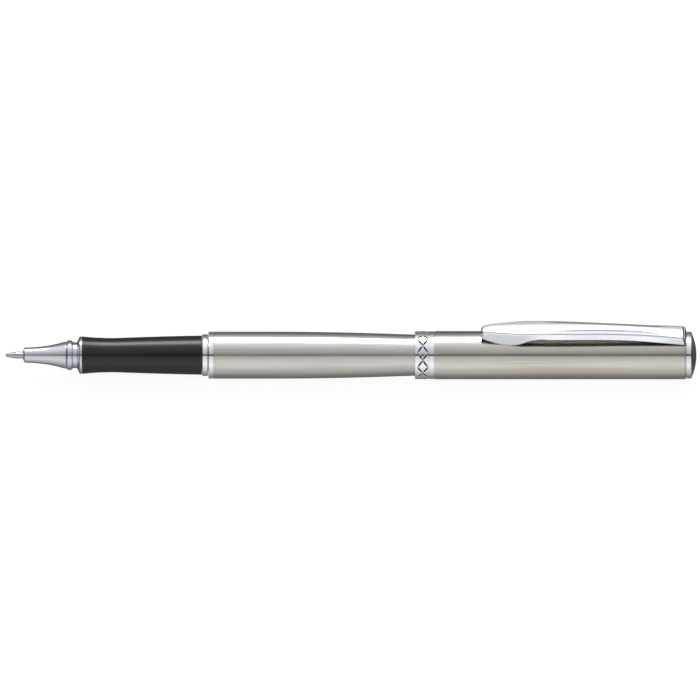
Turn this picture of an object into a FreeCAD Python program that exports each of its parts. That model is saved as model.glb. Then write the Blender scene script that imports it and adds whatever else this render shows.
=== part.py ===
import FreeCAD, Part
import math
import os
import re

import Sketcher

# A capped rollerball pen with its cap posted on the tail of the barrel.
# Lengths are millimetres. The pen lies along X with the writing ball at -X and the cap's end at +X.
# The clip points up (+Z). The origin is at the middle of the pen's length, on the surface it lies on.
# Pieces of the section and refill are drawn from the front of the ball, pieces of the barrel from
# the barrel's front face, and pieces of the cap from the cap's mouth. Names ending in _at are
# distances from that start along the pen, and names ending in _rad are radii about the pen's axis.

DIMENSIONS = [
    # the whole pen
    ("pen_half", 77.25, "half of the posted length"),
    ("axis_height", 5.40, "height of the pen's axis above the surface it lies on"),
    ("barrel_at", 45.37, "front face of the barrel, from the front of the ball"),
    ("cap_at", 91.56, "mouth of the posted cap, from the front of the ball"),
    # refill
    ("ball_rad", 0.35, "writing ball"),
    ("lip_at", 0.26, "rolled lip of the ball socket"),
    ("lip_inner_rad", 0.348, "opening of the rolled lip"),
    ("lip_outer_rad", 0.42, "outside of the rolled lip"),
    ("socket_rad", 0.37, "ball socket"),
    ("socket_end_at", 0.55, "end of the socket's straight wall"),
    ("seat_end_at", 0.76, "back of the ball's conical seat"),
    ("ink_way_rad", 0.15, "ink way behind the ball"),
    ("tip_cone_end_at", 2.35, "end of the refill tip's cone"),
    ("tip_neck_rad", 0.75, "refill tip where it leaves the nose"),
    ("tip_neck_end_at", 6.2, "start of the step behind the tip's neck"),
    ("tip_body_at", 7.0, "end of the step behind the tip's neck"),
    ("tip_body_rad", 1.15, "refill tip inside the nose"),
    ("tip_bore_at", 5.0, "front of the tip's wide ink bore"),
    ("tip_bore_rad", 0.45, "wide ink bore of the tip"),
    ("holder_at", 10.2, "front of the tip holder"),
    ("holder_rad", 1.60, "tip holder inside the nose"),
    ("shank_rad", 0.80, "tip's shank, pressed into the holder"),
    ("shank_end_at", 14.0, "back of the tip's shank"),
    ("shank_socket_rad", 0.81, "holder's socket for the shank"),
    ("holder_bore_rad", 0.65, "ink bore of the holder"),
    ("holder_flange_at", 21.0, "front of the holder's flange"),
    ("holder_flange_rad", 2.75, "holder's flange"),
    ("tube_at", 22.0, "front of the refill tube"),
    ("holder_end_at", 27.0, "back of the holder's plug"),
    ("tube_rad", 2.80, "outside of the refill tube"),
    ("tube_bore_rad", 2.20, "bore of the refill tube"),
    ("ink_rad", 2.18, "ink, follower and plugs inside the tube"),
    ("ink_end_at", 92.0, "back of the ink"),
    ("follower_end_at", 97.0, "back of the grease follower"),
    ("tail_plug_at", 106.0, "front of the refill's tail plug"),
    ("tube_end_at", 110.0, "back of the refill tube"),
    ("refill_end_at", 111.0, "back of the refill"),
    ("vent_rad", 0.40, "air vent through the tail plug"),
    # section: nose, collar, grip and core
    ("mouth_at", 3.95, "mouth of the nose cone"),
    ("mouth_bore_rad", 0.85, "mouth bore of the nose cone"),
    ("mouth_face_rad", 0.95, "flat face round the mouth"),
    ("mouth_rim_at", 4.25, "end of the mouth's chamfer"),
    ("mouth_rim_rad", 1.69, "end of the mouth's chamfer"),
    ("mouth_bore_end_at", 5.2, "end of the mouth bore"),
    ("flare_at", 5.5, "start of the nose cone's flare"),
    ("flare_rad", 1.71, "start of the nose cone's flare"),
    ("flare_round", 31.2, "radius of the concave flare, seen from the side"),
    ("cone_end_at", 13.40, "back edge of the nose cone"),
    ("cone_end_rad", 3.06, "back edge of the nose cone"),
    ("tip_clear_rad", 1.25, "nose bore round the refill tip"),
    ("tip_clear_end_at", 10.0, "end of the bore round the refill tip"),
    ("holder_clear_rad", 1.70, "nose bore round the tip holder"),
    ("nose_shank_rad", 2.35, "threaded shank of the nose cone"),
    ("nose_shank_end_at", 20.9, "back of the threaded shank"),
    ("collar_at", 13.42, "front of the collar"),
    ("bead_at", 13.52, "front of the bead"),
    ("bead_root_rad", 2.95, "bead where it starts"),
    ("bead_round", 1.20, "radius of the bead, seen from the side"),
    ("neck_at", 15.15, "front of the collar's neck"),
    ("neck_rad", 2.90, "collar's neck"),
    ("flange_at", 16.0, "front of the collar's flange"),
    ("flange_lip_at", 16.5, "front edge of the flange's rim"),
    ("flange_rad", 4.17, "flange's rim"),
    ("flange_flank", 0.12, "rounding between flank and rim"),
    ("collar_end_at", 17.08, "back of the collar"),
    ("collar_bore_rad", 2.40, "bore of the collar round the nose's shank"),
    ("grip_at", 17.10, "front of the grip"),
    ("grip_front_rad", 4.20, "grip at the front"),
    ("grip_hollow_round", 61.0, "radius of the finger hollow, seen from the side"),
    ("grip_hollow_end_at", 27.0, "end of the finger hollow"),
    ("grip_hollow_end_rad", 3.93, "grip at the end of the finger hollow"),
    ("grip_swell_round", 900.0, "radius of the grip's rear swell, seen from the side"),
    ("grip_end_at", 43.92, "back of the grip"),
    ("grip_end_rad", 4.39, "grip at the back"),
    ("grip_bore_rad", 3.35, "bore of the grip sleeve"),
    ("core_rad", 3.33, "section core under the grip"),
    ("core_bore_rad", 2.95, "bore of the section core"),
    ("ring_seat_rad", 3.60, "core under the section ring and the seal"),
    ("ring_at", 43.96, "front of the section ring"),
    ("ring_end_at", 45.28, "back of the section ring"),
    ("ring_rad", 4.675, "section ring"),
    ("ring_bore_rad", 3.62, "bore of the section ring"),
    ("ring_corner", 0.28, "rounded corners of the section ring"),
    ("seal_at", 45.85, "middle of the seal"),
    ("seal_mean_rad", 4.05, "seal's ring radius"),
    ("seal_wire_rad", 0.40, "seal's cord radius"),
    ("thread_at", 46.45, "front of the core's rear thread"),
    ("thread_rad", 4.00, "core's rear thread"),
    ("thread_end_at", 53.6, "back of the core"),
    # barrel, from its front face
    ("barrel_ring_end_at", 1.03, "back of the barrel ring's rim"),
    ("barrel_ring_rad", 5.25, "barrel ring"),
    ("barrel_ring_corner", 0.22, "rounded front corner of the barrel ring"),
    ("barrel_ring_bore_rad", 4.52, "bore of the barrel ring round the seal"),
    ("line_rad", 5.08, "bottom of the fine lines beside the rings"),
    ("shell_at", 1.13, "front of the barrel shell"),
    ("barrel_bore_rad", 4.80, "bore of the barrel shell at the front"),
    ("spigot_rad", 4.78, "pieces pressed into the barrel shell"),
    ("spigot_end_at", 2.63, "back of the barrel ring's spigot"),
    ("bush_end_at", 9.13, "back of the threaded bush"),
    ("bush_bore_rad", 4.05, "threaded bore of the bush"),
    ("barrel_rad", 5.26, "barrel shell at the front"),
    ("taper_at", 14.63, "start of the barrel's taper"),
    ("taper_round", 740.0, "radius of the barrel's long curve, seen from the side"),
    ("cone_at", 38.63, "start of the barrel's straight cone"),
    ("cone_rad", 4.86, "barrel shell where the cone starts"),
    ("shell_end_at", 72.63, "back of the barrel shell"),
    ("shell_end_rad", 3.76, "barrel shell at the back"),
    ("shell_wall", 0.45, "wall of the barrel shell"),
    ("end_plug_at", 70.73, "front of the barrel's end plug"),
    ("end_plug_shank_rad", 3.26, "end plug inside the shell"),
    ("spring_cup_rad", 2.62, "spring cup in the end plug"),
    ("spring_seat_at", 71.93, "bottom of the spring cup"),
    ("end_plug_edge_at", 73.33, "edge of the end plug's dome"),
    ("end_plug_rad", 3.74, "end plug outside the shell"),
    ("end_plug_end_at", 74.03, "end of the barrel"),
    ("end_plug_round", 10.35, "radius of the end plug's dome"),
    ("spring_wire_rad", 0.25, "spring wire"),
    ("spring_mean_rad", 2.20, "spring coil radius"),
    ("spring_at", 65.93, "centre of the spring's first wire"),
    ("spring_length", 5.72, "length of the spring between wire centres"),
    ("spring_pitch", 1.43, "pitch of the spring"),
    # cap, from its mouth
    ("mouth_clear_rad", 4.72, "bore of the cap's mouth"),
    ("band_rad", 5.35, "cap band and band ring"),
    ("band_end_at", 2.99, "back of the engraved band"),
    ("sleeve_rad", 4.98, "mouth sleeve that carries the band, the ring and the shell"),
    ("sleeve_end_at", 7.5, "back of the mouth sleeve"),
    ("band_line_at", 3.10, "front of the band ring"),
    ("band_ring_end_at", 4.22, "back of the band ring"),
    ("band_bore_rad", 5.00, "bore of the band and of the band ring"),
    ("cap_line_rad", 5.18, "bottom of the fine lines of the cap"),
    ("lattice_at", 1.75, "middle of the engraved lattice"),
    ("lattice_half", 1.156, "half width of the engraved lattice"),
    ("lattice_depth", 0.12, "depth of the engraving at the crossings and corners"),
    ("lattice_turn", 3.5, "angle from +Y up to the first crossing, in degrees"),
    ("lattice_bar", 0.60, "side of the square bar that stands for the graver"),
    ("cap_shell_at", 4.34, "front of the cap shell"),
    ("cap_shell_end_at", 60.34, "back of the cap shell"),
    ("cap_rad", 5.40, "cap shell"),
    ("cap_bore_rad", 5.00, "bore of the cap shell"),
    ("clutch_at", 7.6, "front of the clutch ring"),
    ("clutch_lip_at", 8.6, "front of the clutch ring's gripping lip"),
    ("clutch_lip_end_at", 9.6, "back of the clutch ring's gripping lip"),
    ("clutch_end_at", 12.0, "back of the clutch ring"),
    ("clutch_rad", 4.96, "outside of the clutch ring"),
    ("clutch_bore_rad", 4.62, "bore of the clutch ring"),
    ("clutch_lip_rad", 4.38, "gripping lip of the clutch ring"),
    ("clutch_slot_at", 9.0, "start of the slots between the clutch's fingers"),
    ("clutch_slot_half", 0.25, "half width of a slot"),
    ("clutch_slot_end_at", 12.5, "end of the slots, past the ring"),
    ("liner_at", 12.2, "front of the inner cap"),
    ("liner_rad", 4.96, "outside of the inner cap"),
    ("liner_bore_rad", 4.45, "inner cap round the barrel's tail"),
    ("liner_step_at", 30.0, "end of the wide bore"),
    ("liner_step_end_at", 31.0, "start of the narrow bore"),
    ("liner_nose_rad", 3.60, "narrow bore round the capped nose"),
    ("liner_nose_wall_rad", 4.30, "outside of the inner cap round the nose"),
    ("liner_nose_end_at", 48.0, "bottom of the narrow bore"),
    ("liner_end_at", 49.6, "back of the inner cap"),
    ("top_bush_at", 54.8, "front of the cap's top bush"),
    ("top_bush_rad", 4.98, "cap's top bush"),
    ("stud_bore_rad", 1.54, "threaded bore of the top bush"),
    ("washer_rim_end_at", 60.55, "back of the washer's rim"),
    ("washer_end_at", 60.69, "back of the clip washer"),
    ("washer_step_rad", 5.10, "step behind the washer's rim"),
    ("washer_rad", 5.35, "clip washer"),
    ("washer_bore_rad", 1.60, "hole of the clip washer"),
    ("lug_low", 4.40, "bottom of the washer's lug above the axis"),
    ("lug_bend", 5.48, "height of the lug's bend above the axis"),
    ("lug_top", 7.22, "top of the washer's lug above the axis"),
    ("lug_lean", 0.30, "lean of the lug towards the cap's mouth"),
    ("lug_width", 4.00, "width of the washer's lug"),
    ("washer_sheet", 0.35, "sheet thickness of the clip washer"),
    ("finial_at", 60.74, "front of the finial"),
    ("finial_rad", 5.25, "finial's rim"),
    ("finial_seat_rad", 4.95, "finial's seat on the washer"),
    ("finial_rim_end_at", 61.12, "back edge of the finial's rim"),
    ("finial_bevel_at", 61.50, "end of the bevel behind the rim"),
    ("finial_bevel_rad", 5.12, "end of the bevel behind the rim"),
    ("dome_at", 61.80, "edge of the finial's dome"),
    ("dome_rad", 4.81, "edge of the finial's dome"),
    ("dome_end_at", 62.94, "end of the cap"),
    ("dome_round", 10.72, "radius of the finial's dome"),
    ("stud_rad", 1.50, "finial's threaded stud"),
    ("stud_at", 55.4, "front end of the stud"),
    # clip: sheet, and nine sections from its tip to its root
    ("clip_sheet", 0.42, "sheet thickness of the clip"),
    ("clip_fold", 0.50, "rounding of the clip's long edges outside"),
    ("clip_fold_inside", 0.70, "rounding of the same edges inside, from the outer corner"),
    ("clip_flare", 0.14, "outward lean of each flange from its fold to its edge"),
    ("tip_wall", 0.45, "end wall of the clip's tip"),
    ("tip_station", 14.75, "end of the tip"),
    ("tip_half", 1.00, "half width at the tip"),
    ("tip_top", 8.12, "top at the tip"),
    ("tip_low", 6.60, "bottom edge at the tip"),
    ("snout_station", 16.74, "section behind the tip"),
    ("snout_half", 1.46, "half width there"),
    ("snout_top", 8.74, "top there"),
    ("snout_low", 5.92, "bottom edge there"),
    ("belly_station", 20.84, "where the clip bears on the cap"),
    ("belly_half", 2.00, "half width there"),
    ("belly_top", 8.92, "top there"),
    ("belly_low", 5.24, "bottom edge there"),
    ("shoulder_station", 24.64, "widest section"),
    ("shoulder_half", 2.38, "half width there"),
    ("shoulder_top", 9.00, "top there"),
    ("shoulder_low", 6.85, "bottom edge there"),
    ("crown_station", 33.54, "highest section"),
    ("crown_half", 2.24, "half width there"),
    ("crown_top", 9.13, "top there"),
    ("crown_low", 7.30, "bottom edge there"),
    ("middle_station", 41.34, "middle of the arm"),
    ("middle_half", 2.02, "half width there"),
    ("middle_top", 8.97, "top there"),
    ("middle_low", 7.10, "bottom edge there"),
    ("waist_station", 46.94, "narrowest section"),
    ("waist_half", 1.94, "half width there"),
    ("waist_top", 8.66, "top there"),
    ("waist_low", 6.83, "bottom edge there"),
    ("heel_station", 53.64, "section before the root"),
    ("heel_half", 1.96, "half width there"),
    ("heel_top", 8.16, "top there"),
    ("heel_low", 6.20, "bottom edge there"),
    ("root_station", 59.94, "end of the root"),
    ("root_half", 2.12, "half width there"),
    ("root_top", 7.52, "top there"),
    ("root_low", 5.48, "bottom edge there"),
]

LATTICE_REPEATS = 10
CLUTCH_FINGERS = 6
CLIP_SECTIONS = [
    "tip", "snout", "belly", "shoulder", "crown", "middle", "waist", "heel", "root",
]

doc = FreeCAD.newDocument("rollerball_pen")
dims = doc.addObject("Spreadsheet::Sheet", "dims")
size = {}
for row, (alias, number, meaning) in enumerate(DIMENSIONS, start=1):
    dims.set(f"A{row}", meaning)
    dims.set(f"B{row}", str(number))
    dims.setAlias(f"B{row}", alias)
    size[alias] = number
doc.recompute()

sub_parts = []


def number_of(formula):
    """The value of a sum such as 'ring_at + ring_corner' of names in the sheet and plain numbers."""
    total = 0.0
    sign = 1
    for word in formula.split():
        if word in "+-":
            sign = 1 if word == "+" else -1
        else:
            total += sign * (size[word] if word[0].isalpha() else float(word))
            sign = 1
    return total


def expression_of(formula):
    """The same sum as an expression that reads the sheet."""
    return re.sub(r"[a-z][a-z_]*", lambda word: "dims." + word.group(0), formula)


def bind(thing, name, formula):
    """Ties a property to a sum of names in the sheet."""
    thing.setExpression(name, expression_of(formula))


def place(thing, start):
    """Puts a sub-part on the pen's axis, with its own zero at the named start."""
    bind(thing, "Placement.Base.x", f"{start} - pen_half")
    bind(thing, "Placement.Base.z", "axis_height")


def new_body(label, start):
    body = doc.addObject("PartDesign::Body", label)
    body.Label = label
    place(body, start)
    sub_parts.append(body)
    return body


def new_sketch(body, role, name):
    """A sketch on one of the body's own origin planes."""
    sketch = body.newObject("Sketcher::SketchObject", name)
    plane = [item for item in body.Origin.OriginFeatures if item.Role == role][0]
    sketch.AttachmentSupport = [(plane, "")]
    sketch.MapMode = "FlatFace"
    return sketch


def arc_between(first, last, formula):
    """An arc from first to last that bulges to the left, or to the right where its radius has a -."""
    bulges_right = formula.startswith("-")
    radius = number_of(formula.lstrip("-"))
    chord = last - first
    drop = math.sqrt(radius ** 2 - (chord.Length / 2) ** 2)
    if not bulges_right:
        drop = -drop
    centre = (first + last) * 0.5 + FreeCAD.Vector(-chord.y, chord.x, 0).normalize() * drop
    start, end = (first, last) if bulges_right else (last, first)
    angles = [math.atan2(point.y - centre.y, point.x - centre.x) for point in (start, end)]
    if angles[1] < angles[0]:
        angles[1] += 2 * math.pi
    circle = Part.Circle(centre, FreeCAD.Vector(0, 0, 1), radius)
    return Part.ArcOfCircle(circle, angles[0], angles[1])


def draw_outline(sketch, outline):
    """Closes an outline of (x, y) or (x, y, radius of the arc that arrives there) formulas.

    An arc runs anticlockwise in a sketch, so one that bulges to the left starts at its far end.
    """
    corners = [FreeCAD.Vector(number_of(point[0]), number_of(point[1]), 0) for point in outline]
    count = len(corners)
    starts = []
    for index in range(count):
        following = (index + 1) % count
        target = outline[following]
        if len(target) == 2:
            sketch.addGeometry(Part.LineSegment(corners[index], corners[following]), False)
            starts.append((1, 2))
            continue
        arc = arc_between(corners[index], corners[following], target[2])
        sketch.addGeometry(arc, False)
        starts.append((1, 2) if target[2].startswith("-") else (2, 1))
    for index in range(count):
        following = (index + 1) % count
        joined = Sketcher.Constraint(
            "Coincident", index, starts[index][1], following, starts[following][0]
        )
        sketch.addConstraint(joined)
    for index, point in enumerate(outline):
        for kind, formula in (("DistanceX", point[0]), ("DistanceY", point[1])):
            value = Sketcher.Constraint(kind, -1, 1, index, starts[index][0], number_of(formula))
            fixed = sketch.addConstraint(value)
            if re.search("[a-z]", formula):
                bind(sketch, f"Constraints[{fixed}]", formula)
        if len(point) == 3:
            arriving = (index - 1) % count
            formula = point[2].lstrip("-")
            radius = Sketcher.Constraint("Radius", arriving, number_of(formula))
            bind(sketch, f"Constraints[{sketch.addConstraint(radius)}]", formula)


def revolved(label, start, outline):
    """A body of revolution about the pen's axis."""
    body = new_body(label, start)
    sketch = new_sketch(body, "XY_Plane", label + "_outline")
    draw_outline(sketch, outline)
    turn = body.newObject("PartDesign::Revolution", label + "_turn")
    turn.Profile = sketch
    turn.ReferenceAxis = (sketch, ["H_Axis"])
    turn.Angle = 360
    return body


# ---- refill ----------------------------------------------------------------------------------

def make_refill():
    ball = doc.addObject("Part::Sphere", "writing_ball")
    ball.Label = "writing_ball"
    bind(ball, "Radius", "ball_rad")
    place(ball, "ball_rad")
    sub_parts.append(ball)
    revolved("refill_tip", "0", [
        ("lip_at", "lip_inner_rad"),
        ("lip_at", "lip_outer_rad"),
        ("tip_cone_end_at", "tip_neck_rad"),
        ("tip_neck_end_at", "tip_neck_rad"),
        ("tip_body_at", "tip_body_rad"),
        ("holder_at", "tip_body_rad"),
        ("holder_at", "shank_rad"),
        ("shank_end_at", "shank_rad"),
        ("shank_end_at", "tip_bore_rad"),
        ("tip_bore_at", "tip_bore_rad"),
        ("tip_bore_at", "ink_way_rad"),
        ("seat_end_at", "ink_way_rad"),
        ("socket_end_at", "socket_rad"),
        ("ball_rad", "socket_rad"),
    ])
    revolved("tip_holder", "0", [
        ("holder_at", "shank_socket_rad"),
        ("holder_at", "holder_rad"),
        ("holder_flange_at", "holder_rad"),
        ("holder_flange_at", "holder_flange_rad"),
        ("tube_at", "holder_flange_rad"),
        ("tube_at", "ink_rad"),
        ("holder_end_at", "ink_rad"),
        ("holder_end_at", "holder_bore_rad"),
        ("shank_end_at", "holder_bore_rad"),
        ("shank_end_at", "shank_socket_rad"),
    ])
    revolved("refill_tube", "0", [
        ("tube_at", "tube_bore_rad"),
        ("tube_at", "tube_rad"),
        ("tube_end_at", "tube_rad"),
        ("tube_end_at", "tube_bore_rad"),
    ])
    revolved("ink_column", "0", [
        ("holder_end_at", "0"),
        ("holder_end_at", "ink_rad"),
        ("ink_end_at", "ink_rad"),
        ("ink_end_at", "0"),
    ])
    revolved("ink_follower", "0", [
        ("ink_end_at", "0"),
        ("ink_end_at", "ink_rad"),
        ("follower_end_at", "ink_rad"),
        ("follower_end_at", "0"),
    ])
    revolved("refill_tail_plug", "0", [
        ("tail_plug_at", "vent_rad"),
        ("tail_plug_at", "ink_rad"),
        ("tube_end_at", "ink_rad"),
        ("tube_end_at", "tube_rad"),
        ("refill_end_at", "tube_rad"),
        ("refill_end_at", "vent_rad"),
    ])


# ---- section: the part of the pen that is held, which unscrews from the barrel ----------------

def make_section():
    revolved("nose_cone", "0", [
        ("mouth_at", "mouth_bore_rad"),
        ("mouth_at", "mouth_face_rad"),
        ("mouth_rim_at", "mouth_rim_rad"),
        ("flare_at", "flare_rad"),
        ("cone_end_at", "cone_end_rad", "-flare_round"),
        ("cone_end_at", "nose_shank_rad"),
        ("nose_shank_end_at", "nose_shank_rad"),
        ("nose_shank_end_at", "holder_clear_rad"),
        ("tip_clear_end_at", "holder_clear_rad"),
        ("tip_clear_end_at", "tip_clear_rad"),
        ("mouth_bore_end_at", "tip_clear_rad"),
        ("mouth_bore_end_at", "mouth_bore_rad"),
    ])
    revolved("nose_collar", "0", [
        ("collar_at", "collar_bore_rad"),
        ("collar_at", "bead_root_rad"),
        ("bead_at", "bead_root_rad"),
        ("neck_at", "neck_rad", "bead_round"),
        ("flange_at", "neck_rad"),
        ("flange_lip_at", "flange_rad - flange_flank"),
        ("flange_lip_at + flange_flank", "flange_rad"),
        ("collar_end_at", "flange_rad"),
        ("collar_end_at", "collar_bore_rad"),
    ])
    revolved("grip_sleeve", "0", [
        ("grip_at", "grip_bore_rad"),
        ("grip_at", "grip_front_rad"),
        ("grip_hollow_end_at", "grip_hollow_end_rad", "-grip_hollow_round"),
        ("grip_end_at", "grip_end_rad", "grip_swell_round"),
        ("grip_end_at", "grip_bore_rad"),
    ])
    revolved("section_core", "0", [
        ("grip_at", "collar_bore_rad"),
        ("grip_at", "core_rad"),
        ("ring_at", "core_rad"),
        ("ring_at", "ring_seat_rad"),
        ("thread_at", "ring_seat_rad"),
        ("thread_at", "thread_rad"),
        ("thread_end_at", "thread_rad"),
        ("thread_end_at", "core_bore_rad"),
        ("nose_shank_end_at", "core_bore_rad"),
        ("nose_shank_end_at", "collar_bore_rad"),
    ])
    revolved("section_ring", "0", [
        ("ring_at", "ring_bore_rad"),
        ("ring_at", "ring_rad - ring_corner"),
        ("ring_at + ring_corner", "ring_rad", "ring_corner"),
        ("ring_end_at - ring_corner", "ring_rad"),
        ("ring_end_at", "ring_rad - ring_corner", "ring_corner"),
        ("ring_end_at", "ring_bore_rad"),
    ])
    seal = doc.addObject("Part::Torus", "section_seal")
    seal.Label = "section_seal"
    bind(seal, "Radius1", "seal_mean_rad")
    bind(seal, "Radius2", "seal_wire_rad")
    seal.Placement.Rotation = FreeCAD.Rotation(FreeCAD.Vector(0, 1, 0), 90)
    place(seal, "seal_at")
    sub_parts.append(seal)


# ---- barrel ----------------------------------------------------------------------------------

def make_barrel():
    revolved("barrel_ring", "barrel_at", [
        ("0", "barrel_ring_bore_rad"),
        ("0", "barrel_ring_rad - barrel_ring_corner"),
        ("barrel_ring_corner", "barrel_ring_rad", "barrel_ring_corner"),
        ("barrel_ring_end_at", "barrel_ring_rad"),
        ("barrel_ring_end_at", "line_rad"),
        ("shell_at", "line_rad"),
        ("shell_at", "spigot_rad"),
        ("spigot_end_at", "spigot_rad"),
        ("spigot_end_at", "barrel_ring_bore_rad"),
    ])
    revolved("thread_bush", "barrel_at", [
        ("spigot_end_at", "bush_bore_rad"),
        ("spigot_end_at", "spigot_rad"),
        ("bush_end_at", "spigot_rad"),
        ("bush_end_at", "bush_bore_rad"),
    ])
    revolved("barrel_shell", "barrel_at", [
        ("shell_at", "barrel_bore_rad"),
        ("shell_at", "barrel_rad"),
        ("taper_at", "barrel_rad"),
        ("cone_at", "cone_rad", "taper_round"),
        ("shell_end_at", "shell_end_rad"),
        ("shell_end_at", "shell_end_rad - shell_wall"),
        ("cone_at", "cone_rad - shell_wall"),
        ("taper_at", "barrel_bore_rad", "-taper_round"),
    ])
    revolved("barrel_end_plug", "barrel_at", [
        ("spring_seat_at", "0"),
        ("spring_seat_at", "spring_cup_rad"),
        ("end_plug_at", "spring_cup_rad"),
        ("end_plug_at", "end_plug_shank_rad"),
        ("shell_end_at", "end_plug_shank_rad"),
        ("shell_end_at", "end_plug_rad"),
        ("end_plug_edge_at", "end_plug_rad"),
        ("end_plug_end_at", "0", "end_plug_round"),
    ])
    make_spring()


def make_spring():
    """The compression spring between the refill and the barrel's end plug."""
    body = new_body("refill_spring", "barrel_at")
    sketch = new_sketch(body, "XY_Plane", "refill_spring_wire")
    centre = FreeCAD.Vector(size["spring_at"], size["spring_mean_rad"], 0)
    sketch.addGeometry(Part.Circle(centre, FreeCAD.Vector(0, 0, 1), size["spring_wire_rad"]), False)
    fixed = [
        (Sketcher.Constraint("DistanceX", -1, 1, 0, 3, centre.x), "spring_at"),
        (Sketcher.Constraint("DistanceY", -1, 1, 0, 3, centre.y), "spring_mean_rad"),
        (Sketcher.Constraint("Radius", 0, size["spring_wire_rad"]), "spring_wire_rad"),
    ]
    for constraint, formula in fixed:
        bind(sketch, f"Constraints[{sketch.addConstraint(constraint)}]", formula)
    coil = body.newObject("PartDesign::AdditiveHelix", "refill_spring_coil")
    coil.Profile = sketch
    coil.ReferenceAxis = (sketch, ["H_Axis"])
    coil.Mode = 0
    bind(coil, "Pitch", "spring_pitch")
    bind(coil, "Height", "spring_length")


# ---- cap -------------------------------------------------------------------------------------

def make_band_blank():
    """The cap's mouth band before engraving."""
    band = revolved("band_blank", "cap_at", [
        ("0", "band_bore_rad"),
        ("0", "band_rad"),
        ("band_end_at", "band_rad"),
        ("band_end_at", "cap_line_rad"),
        ("band_line_at", "cap_line_rad"),
        ("band_line_at", "band_bore_rad"),
    ])
    sub_parts.remove(band)
    band.setExpression("Placement.Base.x", None)
    band.setExpression("Placement.Base.z", None)
    band.Placement = FreeCAD.Placement()
    return band


def graver_bar(name, start, end):
    """A square bar turned on edge, whose lowest edge runs from start to end and cuts a V groove."""
    along = end - start
    outward = (start + end) * 0.5
    outward = FreeCAD.Vector(0, outward.y, outward.z).normalize()
    across = along.cross(outward).normalize()
    upward = across.cross(along).normalize()
    side_one = (upward + across).normalize()
    side_two = (upward - across).normalize()
    bar = doc.addObject("Part::Box", name)
    bar.Length = along.Length
    bind(bar, "Width", "lattice_bar")
    bind(bar, "Height", "lattice_bar")
    bar.Placement = FreeCAD.Placement(
        start, FreeCAD.Rotation(along.normalize(), side_one, side_two, "XYZ")
    )
    return bar


def make_band():
    """The engraved band: a ring of crosses, each of four grooves that run out to its corners."""
    blank = make_band_blank()
    step = 360 / LATTICE_REPEATS
    floor_rad = size["band_rad"] - size["lattice_depth"]
    bars = []
    for repeat in range(LATTICE_REPEATS):
        middle = FreeCAD.Vector(size["lattice_at"], floor_rad, 0)
        turn = FreeCAD.Rotation(FreeCAD.Vector(1, 0, 0), repeat * step + size["lattice_turn"])
        for arm, (shift, swing) in enumerate(((-1, -1), (-1, 1), (1, -1), (1, 1))):
            corner = FreeCAD.Rotation(FreeCAD.Vector(1, 0, 0), swing * step / 2).multVec(middle)
            corner.x = size["lattice_at"] + shift * size["lattice_half"]
            bars.append(
                graver_bar(f"graver_{repeat}_{arm}", turn.multVec(middle), turn.multVec(corner))
            )
    tool = doc.addObject("Part::Compound", "gravers")
    tool.Links = bars
    band = doc.addObject("Part::Cut", "cap_band")
    band.Label = "cap_band"
    band.Base = blank
    band.Tool = tool
    place(band, "cap_at")
    sub_parts.append(band)


def make_clutch_ring():
    """The ring inside the cap that grips the pen, slotted into spring fingers."""
    body = revolved("cap_clutch_ring", "cap_at", [
        ("clutch_at", "clutch_bore_rad"),
        ("clutch_at", "clutch_rad"),
        ("clutch_end_at", "clutch_rad"),
        ("clutch_end_at", "clutch_bore_rad"),
        ("clutch_lip_end_at", "clutch_lip_rad"),
        ("clutch_lip_at", "clutch_lip_rad"),
    ])
    sketch = new_sketch(body, "XY_Plane", "clutch_slot_outline")
    draw_outline(sketch, [
        ("clutch_slot_at", "0 - clutch_slot_half"),
        ("clutch_slot_at", "clutch_slot_half"),
        ("clutch_slot_end_at", "clutch_slot_half"),
        ("clutch_slot_end_at", "0 - clutch_slot_half"),
    ])
    slot = body.newObject("PartDesign::Pocket", "clutch_slot")
    slot.Profile = sketch
    slot.Type = "ThroughAll"
    slot.Reversed = True
    fingers = body.newObject("PartDesign::PolarPattern", "clutch_fingers")
    fingers.Originals = [slot]
    fingers.Axis = (sketch, ["H_Axis"])
    fingers.Angle = 360
    fingers.Occurrences = CLUTCH_FINGERS
    body.Tip = fingers


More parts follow.
